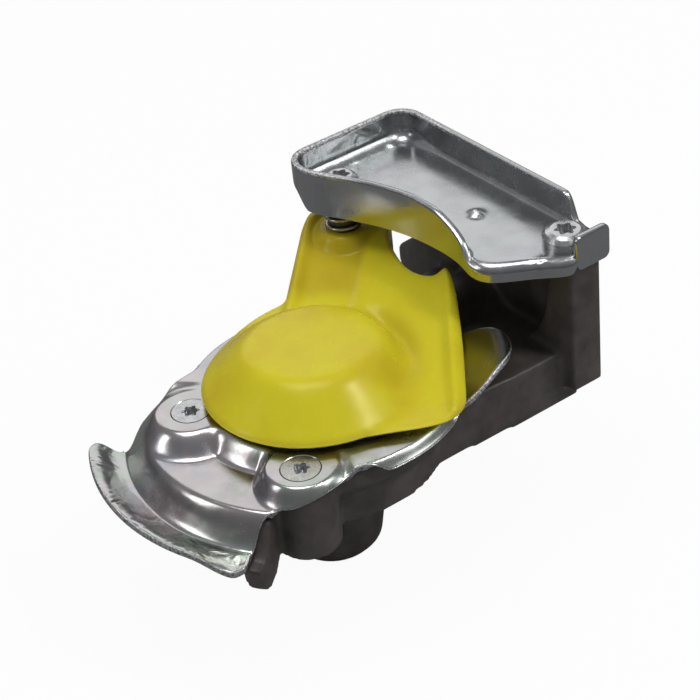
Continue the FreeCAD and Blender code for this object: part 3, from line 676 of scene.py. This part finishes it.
    def build(self) -> Object:
        """Builds the sheet: rows run out from the seal hole, round the edge and back underneath.

        The underside is the top moved straight down, so walls come out drawn thinner. Towards the
        edge it follows the normal, which squares the edge to the sheet.
        """
        path = self.outline()
        normal = outward(path)
        edge = path - self.nose * normal
        leave, bend = self.bearings(edge)
        start = self.hole * np.stack([np.cos(leave), np.sin(leave)], -1)
        reach = np.linalg.norm(edge, axis=1) - self.hole
        half = np.minimum(self.bend_r, self.hole + 0.75 * reach)
        middle = half[:, None] * np.stack([np.cos(bend), np.sin(bend)], -1)
        inner = np.concatenate([np.linspace(0.0, 0.5, 10, endpoint=False),
                                np.linspace(0.5, 1.0, 34, endpoint=False)])[:, None, None]
        outer = np.linspace(0.0, 1.0, 60)[:, None, None]
        flat = np.concatenate([start + (middle - start) * inner, middle + (edge - middle) * outer])
        x, y = np.moveaxis(flat, 2, 0)
        top = np.stack([x, y, self.height(x, y)], -1)
        up = normals_of(top)
        up = up * np.sign(up[:, :, 2:3])
        tip = climb(np.arange(len(top)), (len(top) - 14, 11.0))[:, None, None]
        lean = unit(up * tip + np.array([0.0, 0.0, 1.0]) * (1.0 - tip))
        deep = self.sheet * up[:, :, 2] / np.einsum("ijk,ijk->ij", lean, up)
        under = top - deep[:, :, None] * lean
        side = raised(normal, 0.0)
        side = unit(side - np.einsum("ij,ij->i", side, up[-1])[:, None] * up[-1])
        turn = np.radians([25.0, 50.0, 72.0, 90.0])[:, None, None]
        nose = np.minimum(self.nose, 0.45 * deep[-1])[:, None]
        out, back = nose * np.sin(turn) * side, nose * (1.0 - np.cos(turn)) * up[-1]
        upper, lower = top[-1] + out - back, under[-1] + out + back
        rows = np.concatenate([top, upper, lower[::-1], under[::-1]])
        wear = np.zeros(rows.shape[:2])
        wear[len(top) + 1:len(top) + 7] = 1.0
        r, turn = about_seal(rows[:, :, 0], rows[:, :, 1])
        folds = np.maximum(bell((turn + 66.0) / 9.0), 0.8 * bell((turn + 92.0) / 8.0))
        marks = {"edge_wear": wear, "crumple": climb(r, self.crumple) * (0.35 + 0.65 * folds)}
        plate = skin("pressed_guide_plate", [(rows, Ends.JOINED)], marks)
        shank, mouth = self.screw_shank, self.screw_head + self.screw_gap
        sink = [(shank, -9.0), (shank, shank - self.screw_head), (mouth, 0.0), (mouth + 2.0, 2.0)]
        carve(plate, [turned(screw, sink, 96) for screw in self.screws])
        dress(plate, ZincPlate(0.205, (0.50, 0.515, 0.525)).material("zinc_plate"))
        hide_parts("lower_guide_plate")
        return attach(plate, "head")


@dataclass
class GuideTray:
    """The upper guide plate: a pan with a hollowed front, a hanging flange and a tab.

    Steps are (start, width) pairs along X or in height. The bump and dish are (height, reach).
    """

    sheet: float = 1.9
    under_z: float = 24.6
    rim_z: float = 34.7
    low_rim_z: float = 27.4
    skirt_z: float = 21.7
    bend: float = 2.6
    draft: float = 0.075
    nose: float = 0.7
    hem: float = 0.4
    columns: int = 460
    side: float = -47.6
    rear: float = 68.2
    right: float = 34.0
    corners: Pair = (7.0, 2.5)
    fillet: Pair = (1.6, 2.0)
    left: Pair = (-30.0, -10.0)
    low_wall: Pair = (3.0, -2.1)
    worn: Pair = (-20.0, -14.0)
    crumpled: Pair = (-26.0, -12.0)
    knock: Pair = (30.0, 50.0)
    front_y: float = 57.2
    skirt_x: float = -40.0
    pivot: Pair = (-34.2, 36.2)
    pivot_hole: float = 3.25
    screw: Pair = (26.0, 60.3)
    screw_hole: float = 3.1
    middle: Pair = (-3.0, 48.5)
    dimple: Pair = (0.7, 52.8)
    bump: Pair = (1.6, 1.8)
    dish: Pair = (0.25, 5.0)
    tab_low: Pair = (56.9, 22.3)
    tab_high: Pair = (67.7, 31.8)
    tab_corner: float = 1.8
    tab_rows: tuple[Pair, ...] = ((1.85, 0.45), (1.72, 0.15), (1.4, 0.0), (0.45, 0.0), (0.13, 0.15),
                                  (0.0, 0.45))

    def outline(self) -> Grid:
        """The pan's outline, counter-clockwise."""
        s, r, e = self.side, self.rear, self.right
        big, small = self.corners
        front = [(31.6, 52.0), (28.5, 48.0), (24.4, 41.8), (21.0, 38.4), (17.0, 37.4),
                 (12.5, 38.2), (7.8, 39.0), (1.2, 39.0), (-9.0, 37.8), (-18.7, 35.0),
                 (-30.0, 29.8), (-38.5, 26.7), (-43.8, 27.8), (-46.9, 31.2), (s, 36.0)]
        return soften(spread(closed([
            through(front, 260),
            np.array([(s, 36.0), (s, r - big)]),
            arc((s + big, r - big), big, 180.0, 90.0, 30),
            np.array([(s + big, r), (e - small, r)]),
            arc((e - small, r - small), small, 90.0, 0.0, 12),
            np.array([(e, r - small), (e, 58.5)]),
            through([(e, 58.5), (33.9, 56.6), (33.2, 54.6), front[0]], 30),
        ]), self.columns)[::-1], 2)

    def rim(self, path: Grid) -> Grid:
        """Height of the rim: full at the left and back, low at the right front, none at the end."""
        x, y = path.T
        high, low = self.rim_z, self.low_rim_z
        heights = [high, high - 0.9, high - 4.0, low + 0.6, low]
        ramp = np.interp(x, [-6.0, 2.0, 10.0, 16.0, 22.0], heights)
        back = high - (high - self.under_z - self.sheet) * climb(x, (19.0, 4.5))
        return soften(np.where(y > 60.0, back, np.minimum(ramp, high)), 3)

    def build(self) -> Object:
        """Builds the pan and the tab.

        Each section runs from the floor's middle out to the wall, up a fillet, over the rim, down
        the outer face, round the outer fillet or the hanging flange, and back underneath. At the
        front right no rim stands up: there the floor rolls over straight into the flange.
        """
        path = self.outline()
        normal = outward(path)
        t, e, hem, under = self.sheet, self.nose, self.hem, self.under_z
        floor = under + t
        rim = self.rim(path)
        tall = np.clip(rim - floor, 0.0, None)
        least, more = self.fillet
        fillet = least + more * climb(path[:, 0], self.left)
        fillet = soften(np.minimum(fillet, 0.9 * tall), 24) + 0.02
        front = (path[:, 1] < self.front_y) & (path[:, 0] > self.skirt_x)
        drop = soften(front.astype(float), 8)

        def ring(inset: Grid | float, height: Grid | float) -> Grid:
            """The path moved inwards by inset and lifted to height."""
            return raised(path - normal * np.broadcast_to(inset, rim.shape)[:, None], height)

        foot = ring(t + fillet, floor)
        centre = np.array([*self.middle, floor])
        rows = [centre + (foot - centre) * s for s in np.linspace(0.02, 1.0, 40)]
        low, top = floor + fillet, np.maximum(rim, floor + fillet)
        wall = [(t + fillet * back, floor + fillet * rise) for back, rise in quarter(15.0, 6)]
        wall.append((t + 0.004, np.maximum(top - e - 0.3, low)))
        worn_from = len(rows) + len(wall)
        cut = 0.29 * e
        wall += [(t, np.maximum(top - e, low)), (t - cut, top - cut), (t - e, top), (e, top),
                 (cut, top - cut), (0.0, np.maximum(top - e, under + 0.6))]
        worn_to = len(rows) + len(wall)
        wall.append((0.005, np.maximum(top - e - 0.25, under + 0.55)))
        rolled = soften(climb(rim - floor, self.low_wall) * drop, 8)
        bend = np.minimum(self.bend, t + 0.9 * fillet)
        for (inset, height), (back, fall) in zip(wall, quarter(0.0, len(wall))):
            rows.append(ring(inset + (bend * back - inset) * rolled,
                             height + (floor - bend * fall - height) * rolled))
        outer = np.minimum(t + fillet * 0.9, 3.6) * (1.0 - drop)
        low = under + (self.skirt_z - under) * drop
        draft = self.draft * drop * (np.maximum(rim, floor) - low)
        for rise, back in quarter(0.0, 7):
            rows.append(ring(outer * back + draft + 0.01, low + (outer + hem * drop) * rise))
        hung = len(rows)
        outer = outer + draft
        rows += [ring(outer + hem * drop + 0.02, low), ring(outer + (t - hem) * drop + 0.03, low),
                 ring(outer + t * drop + 0.04, low + hem * drop),
                 ring(outer + t * drop + 0.05, under - 0.001)]
        base, centre = rows[-1], np.array([*self.middle, under])
        rows += [centre + (base - centre) * s for s in np.linspace(0.98, 0.02, 30)]
        grid = self.dimpled(np.stack(rows), floor)
        x, y, z = np.moveaxis(grid, 2, 0)
        wear, polished = np.zeros((2, *x.shape))
        worn = 0.15 + 0.85 * climb(path[:, 0], self.worn)
        wear[worn_from:worn_to] = worn * (1.0 - rolled)
        wear += 0.7 * spot(x, y, self.dimple, 1.5) * (z > floor + 0.2)
        polished[worn_to - 1:hung] = drop
        crumple = 0.5 * climb(x, self.crumpled) * climb(z - floor, (1.5, 3.0))
        crumple += 0.6 * spot(x, y, self.knock, 4.0) * (z > floor - 3.0)
        tray = skin("pressed_guide_tray", [(grid, Ends.POLES), (self.tab(), Ends.POLES)],
                    {"edge_wear": wear, "crumple": crumple, "polished": polished})
        holes = ((self.pivot, self.pivot_hole), (self.screw, self.screw_hole))
        carve(tray, [turned(at, [(r, 20.0), (r, 40.0)], 48) for at, r in holes])
        dress(tray, ZincPlate(0.22, (0.46, 0.475, 0.49), 0.2, 0.00002).material("zinc_tray"))
        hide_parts("upper_guide_plate")
        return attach(tray, "head")

    def dimpled(self, grid: Grid, floor: float) -> Grid:
        """Presses the locating dimple: a bump in a shallow dish, on the floor's rows only."""
        x, y, z = np.moveaxis(grid, 2, 0)
        bump, dish = (h * spot(x, y, self.dimple, reach) for h, reach in (self.bump, self.dish))
        grid[:, :, 2] += (np.abs(z - floor) < 0.01) * (bump - dish)
        return grid

    def tab(self) -> Grid:
        """The upright tab at the right end: rounded rectangles stacked through the sheet."""
        (y0, z0), (y1, z1), r = self.tab_low, self.tab_high, self.tab_corner
        loop = np.concatenate([
            arc((y0 + r, z0 + r), r, 180.0, 270.0, 8), arc((y1 - r, z0 + r), r, 270.0, 360.0, 8),
            arc((y1 - r, z1 - r), r, 0.0, 90.0, 8), arc((y0 + r, z1 - r), r, 90.0, 180.0, 8)])
        centre = np.array([y0 + y1, z0 + z1]) / 2.0
        half = np.abs(loop - centre).max(0)
        rows = []
        for back, shrink in self.tab_rows:
            y, z = (centre + (loop - centre) * (1.0 - shrink / half)).T
            rows.append(np.stack([np.full(len(y), self.right - back), y, z], -1))
        return np.stack(rows)


@dataclass
class DustLid:
    """The spring lid: a flat-topped cone over the seal that runs into an arm up to the pivot.

    The bead is (height, inset, width), the horn (height, reach), the valley (radius, width, depth).
    """

    wall: float = 2.2
    roll: float = 1.5
    columns: int = 400
    rim_z: float = 1.6
    radius: float = 28.4
    top_radius: float = 16.9
    top_z: float = 12.6
    top_soft: float = 0.9
    blend: float = 0.7
    hub_z: float = 15.6
    hub_radius: float = 6.6
    hub_low: float = 7.0
    hub_level: Pair = (9.4, 3.2)
    bush: float = 4.15
    arm: float = 12.4
    slope: Triple = (3.93, -0.108, 0.221)
    arm_sink: float = 1.3
    column_sink: float = 0.7
    bead: Triple = (1.8, 2.0, 1.9)
    behind: Pair = (-0.924, 0.383)
    horn_at: Pair = (0.4, 42.0)
    horn: Pair = (1.2, 2.6)
    valley: Triple = (22.5, 3.0, 2.2)
    valley_sector: Triple = (6.0, 118.0, 28.0)
    wing_top: Pair = (6.5, 40.6)
    wing_foot: Pair = (35.4, 18.6)
    column: tuple[Pair, Pair] = ((-26.9, 38.4), (-20.5, 30.9))
    pivot: Pair = (-34.2, 36.2)
    middle: Pair = (-9.0, 14.0)

    def ends(self) -> tuple[Pair, Pair]:
        """The two ends of the arm's left edge: at the hub and at the round rim."""
        out = 0.707 * self.arm
        return (self.pivot[0] - out, self.pivot[1] - out), polar(self.radius, 159)

    def on_column(self, x: Grid, y: Grid) -> Grid:
        """1 on the arm's column, on the hub's side of its line, and 0 past the line."""
        return ease((1.5 - left_of(*self.column, x, y)) / 3.0)

    def height(self, x: Grid, y: Grid) -> Grid:
        """Height of the top face: the soft maximum of a flat-topped cone, the arm and the rim.

        The soft maximum is a times log(the sum of exp(level/a)). The arm is a plane sunk between
        beads along its edges. A valley bends round the cone's back, and the spring's seat is level.

        Args:
            x: places along X.
            y: places along Y.

        Returns:
            Heights of the same shape.
        """
        r, turn = about_seal(x, y)
        dx, dy = x - self.pivot[0], y - self.pivot[1]
        away = np.hypot(dx, dy)
        edge = self.rim_z + 0.8
        fall = (self.top_z - edge) / (self.radius - self.top_radius)
        line = self.top_z - fall * (r - self.top_radius)
        soft = self.top_soft
        cone = -soft * np.log(np.exp(-self.top_z / soft) + np.exp(-line / soft))
        plane = self.slope[0] + self.slope[1] * x + self.slope[2] * y
        arm = np.minimum(plane, self.hub_z + 0.4) - self.arm_sink
        arm = arm - self.column_sink * self.on_column(x, y)
        tall, inside, width = self.bead
        wing = left_of(self.wing_foot, self.wing_top, x, y)
        left, right, hub = (bell((depth - inside) / width)
                            for depth in (left_of(*self.ends(), x, y), wing, self.arm - away))
        hub = hub * ease((self.behind[0] * dx + self.behind[1] * dy) / 4.0)
        arm = arm + tall * np.maximum(np.maximum(left, right), hub)
        arm = arm + self.horn[0] * spot(x, y, self.horn_at, self.horn[1])
        z = self.blend * np.log(sum(np.exp(level / self.blend) for level in (cone, arm, edge)))
        radius, width, deep = self.valley
        z = z - deep * sector(turn, *self.valley_sector) * bell((r - radius) / width)
        return z + (self.hub_z - z) * ease((self.hub_level[0] - away) / self.hub_level[1])

    def outline(self) -> Grid:
        """The lid's outline, counter-clockwise."""
        px, py = self.pivot
        return soften(spread(closed([
            arc((0.0, 0.0), self.radius, 159.0, 348.0, 160),
            through([polar(self.radius, -12), (31.6, 1.2), (35.3, 8.2), (36.7, 13.8),
                     self.wing_foot, (31.6, 22.4)]),
            through([(31.6, 22.4), (18.8, 32.1), self.wing_top]),
            through([self.wing_top, (3.0, 42.5), (-0.8, 43.1), (-3.2, 41.2), (-8.0, 38.7),
                     (-16.0, 39.4), (-24.0, 43.0), (px + 4.0, py + self.arm - 0.6),
                     (px, py + self.arm)]),
            arc((px, py), self.arm, 90.0, 225.0),
            np.array(self.ends()),
        ]), self.columns), 2)

    def build(self) -> Object:
        """Builds the hollow lid and its hub.

        Rows run out from the middle, roll over the edge, drop down the wall and return inside.
        """
        path = self.outline()
        normal = outward(path)
        centre = np.array(self.middle)
        low, wall, roll = self.rim_z, self.wall, self.roll

        def lifted(flat: Grid, drop: float) -> Grid:
            """Points of the top face, lowered by drop."""
            return raised(flat, np.maximum(self.height(*flat.T) - drop, low + 0.45))

        inner, inside = path - normal * roll, path - normal * wall
        rows = [lifted(centre + (inner - centre) * s, 0.0) for s in np.linspace(0.01, 1.0, 96)]
        for back, fall in quarter(18.0, 5):
            rows.append(lifted(path - normal * (roll * back), 0.8 * roll * fall))
        for inset, z in ((0.0, 0.4), (0.15, 0.1), (0.5, 0.0), (wall - 0.3, 0.0), (wall, 0.3)):
            rows.append(raised(path - normal * inset, low + z))
        rows += [lifted(centre + (inside - centre) * s, wall) for s in np.linspace(1.0, 0.01, 50)]
        grid = np.stack(rows)
        x, y = grid[:, :, 0], grid[:, :, 1]
        r, turn = about_seal(x, y)
        # Painted shade: marks the arm's column under the tray and the valley behind the cone, where
        # shade falls, for a darker, warmer colour.
        painted_shade = 0.75 * self.on_column(x, y) * climb(r, (25.0, 6.0)) * climb(y, (8.0, 8.0))
        valley_shade = 0.5 * bell((r - 23.5) / 3.5) * sector(turn, *self.valley_sector)
        marks = {"painted_shade": np.maximum(painted_shade, valley_shade)}
        lid = skin("moulded_lid", [(grid, Ends.POLES)], marks, 50.0)
        carve(lid, [turned(self.pivot, [(self.bush, -2.0), (self.bush, 30.0)], 64)])
        dress(lid, MouldedPlastic().material("lid_plastic"))
        hub, foot, top = self.hub_radius, self.hub_low, self.hub_z - 1.2
        post = skin("lid_hub_post", [(turned(self.pivot, [
            (self.bush, foot), (hub - 0.6, foot), (hub, foot + 0.6), (hub, top), (self.bush, top)]),
            Ends.JOINED)])
        dress(post, lid.data.materials[0])
        for piece in (lid, post):
            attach(piece, "lid")
        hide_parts("dust_lid")
        return lid


@dataclass
class CastBody:
    """The die-cast body, as its CAD solid with the edges softened as in a casting."""

    weld: float = 0.01
    voxel: float = 0.8
    relax: float = 0.5
    rounds: int = 5

    def build(self, node: Object) -> Object:
        """Copies the solid, closes it into even cells and relaxes them, which rounds each edge.

        Args:
            node: the solid's object, which stays as it is.

        Returns:
            The piece that replaces it.
        """
        body = put("die_cast_body", node.data.copy())
        weld = body.modifiers.new("weld", "WELD")
        weld.merge_threshold = self.weld * MM
        cells = body.modifiers.new("cells", "REMESH")
        cells.mode = "VOXEL"
        cells.voxel_size = self.voxel * MM
        relax = body.modifiers.new("relax", "SMOOTH")
        relax.factor = self.relax
        relax.iterations = self.rounds
        bake(body)
        body.data.polygons.foreach_set("use_smooth", [True] * len(body.data.polygons))
        dress(body, CastPaint().material("cast_paint"))
        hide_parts("body_casting")
        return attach(body, "head")


@dataclass
class SmallParts:
    """Screws, washers, springs, seals and valve parts: their solids with a finish each."""

    def build(self, nodes: dict[str, Object]) -> None:
        """Dresses each small part, from the CAD objects by name."""
        for label, finish, names in (
            ("screw_zinc", BrightScrew(), (
                "guide_screw_left", "guide_screw_right", "post_screw", "pivot_bolt",
                "head_washer", "nut_washer", "pivot_nut")),
            ("spring_wire", PlainFinish((0.46, 0.45, 0.43), 1.0, 0.30), (
                "lid_spring", "valve_spring")),
            ("bush_plastic", PlainFinish((0.045, 0.04, 0.035), 0.0, 0.35), (
                "lid_bush", "valve_plunger")),
            ("seal_rubber", PlainFinish((0.022, 0.022, 0.023), 0.0, 0.6), (
                "face_seal", "sleeve_ring", "plunger_ring")),
            ("sleeve_brass", PlainFinish((0.60, 0.42, 0.16), 1.0, 0.3), ("valve_sleeve",)),
        ):
            material = finish.material(label)
            for name in names:
                dress(nodes[name], material)
                LOG.info("dressed %s", name)


# Stage


@dataclass(frozen=True)
class Lamp:
    """A soft rectangular lamp: where it stands, in metres, its width and height, and its watts."""

    name: str
    direction: Triple
    distance: float
    size: Pair
    power: float
    aim: Triple = (0.0, 0.02, 0.0)

    def build(self) -> None:
        """Adds the lamp, facing the object."""
        light = bpy.data.lights.new(self.name, "AREA")
        light.shape = "RECTANGLE"
        light.size, light.size_y = self.size
        light.energy = self.power
        lamp = put(self.name, light)
        towards = Vector(self.direction).normalized()
        lamp.location = towards * self.distance + Vector(self.aim)
        lamp.rotation_mode = "QUATERNION"
        lamp.rotation_quaternion = towards.to_track_quat("Z", "Y")


@dataclass
class Stage:
    """Floor, soft lamps, world and camera."""

    floor_z: float = -0.0505
    floor_half: float = 3.0
    eye: Triple = (0.31884, -0.19594, 0.26888)
    azimuth: float = 57.0
    elevation: float = 34.8
    roll: float = 6.4
    lens: float = 95.5
    lamps: tuple[Lamp, ...] = (
        Lamp("key", (0.50, 0.31, 0.81), 0.9, (0.14, 0.16), 1.9),
        Lamp("top", (-0.05, -0.12, 0.99), 1.0, (0.50, 0.50), 3.9),
        Lamp("back", (-0.72, 0.44, 0.51), 1.1, (1.2, 0.60), 2.1),
        Lamp("left", (-0.35, -0.85, 0.45), 1.0, (0.20, 0.40), 1.0),
        Lamp("right", (0.61, 0.57, 0.55), 1.0, (0.45, 0.34), 1.2),
    )

    def floor(self) -> None:
        """Adds a pale floor: white to the camera, grey in reflections, with a soft shadow."""
        mesh = bpy.data.meshes.new("floor")
        s, z = self.floor_half, self.floor_z
        mesh.from_pydata([(-s, -s, z), (s, -s, z), (s, s, z), (-s, s, z)], [], [(0, 1, 2, 3)])
        floor = put("floor", mesh)
        material = bpy.data.materials.new("floor_white")
        tree = Tree(material)
        rays = tree.add("LightPath", {})
        tone = tree.mix(rays["Is Glossy Ray"], (0.80, 0.80, 0.80), (0.22, 0.22, 0.22))
        matt = tree.add("BsdfDiffuse", {"Color": tone})[0]
        glow = tree.add("Emission", {"Color": (1.0, 1.0, 1.0), "Strength": 1.0})[0]
        share = tree.math("MULTIPLY", rays["Is Camera Ray"], 0.95)
        surface = tree.add("MixShader", {0: share, 1: matt, 2: glow})[0]
        tree.add("OutputMaterial", {"Surface": surface})
        mesh.materials.append(material)

    def world(self) -> None:
        """Sets a grey studio world, darker at the sides than above, white to the camera."""
        world = bpy.data.worlds.new("studio")
        bpy.context.scene.world = world
        tree = Tree(world)
        parts = tree.add("SeparateXYZ", {0: tree.add("TexCoord", {})["Generated"]})
        sky = tree.ramp(parts["Z"], ((0.0, (0.11, 0.11, 0.115)), (0.8, (0.26, 0.26, 0.27))))
        soft = tree.add("Background", {"Color": sky})[0]
        white = tree.add("Background", {"Color": (1.0, 1.0, 1.0)})[0]
        seen = tree.add("LightPath", {})["Is Camera Ray"]
        surface = tree.add("MixShader", {0: seen, 1: soft, 2: white})[0]
        tree.add("OutputWorld", {"Surface": surface})

    def camera(self) -> None:
        """Sets the camera from its place, azimuth, elevation and roll."""
        data = bpy.data.cameras.new("photo_view")
        data.lens = self.lens
        data.sensor_width = 36.0
        data.clip_start = 0.01
        view = Matrix.Translation(self.eye)
        for degrees, axis in ((self.azimuth, "Z"), (90.0 - self.elevation, "X"), (-self.roll, "Z")):
            view = view @ Matrix.Rotation(math.radians(degrees), 4, axis)
        camera = put("photo_view", data)
        camera.matrix_world = view
        bpy.context.scene.camera = camera

    def build(self) -> None:
        """Builds the stage."""
        self.floor()
        self.world()
        for lamp in self.lamps:
            lamp.build()
        self.camera()
        bpy.context.scene.view_settings.view_transform = "Standard"


def main() -> None:
    """Builds the pieces in order and logs each piece's face count."""
    logging.basicConfig(level=logging.INFO)
    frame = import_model()
    for name, piece in (
        ("guide plate", GuidePlate().build()),
        ("guide tray", GuideTray().build()),
        ("dust lid", DustLid().build()),
        ("cast body", CastBody().build(frame["nodes"]["body_casting"])),
    ):
        LOG.info("%s has %d faces", name, len(piece.data.polygons))
    SmallParts().build(frame["nodes"])
    Stage().build()


if __name__ == "__main__":
    main()
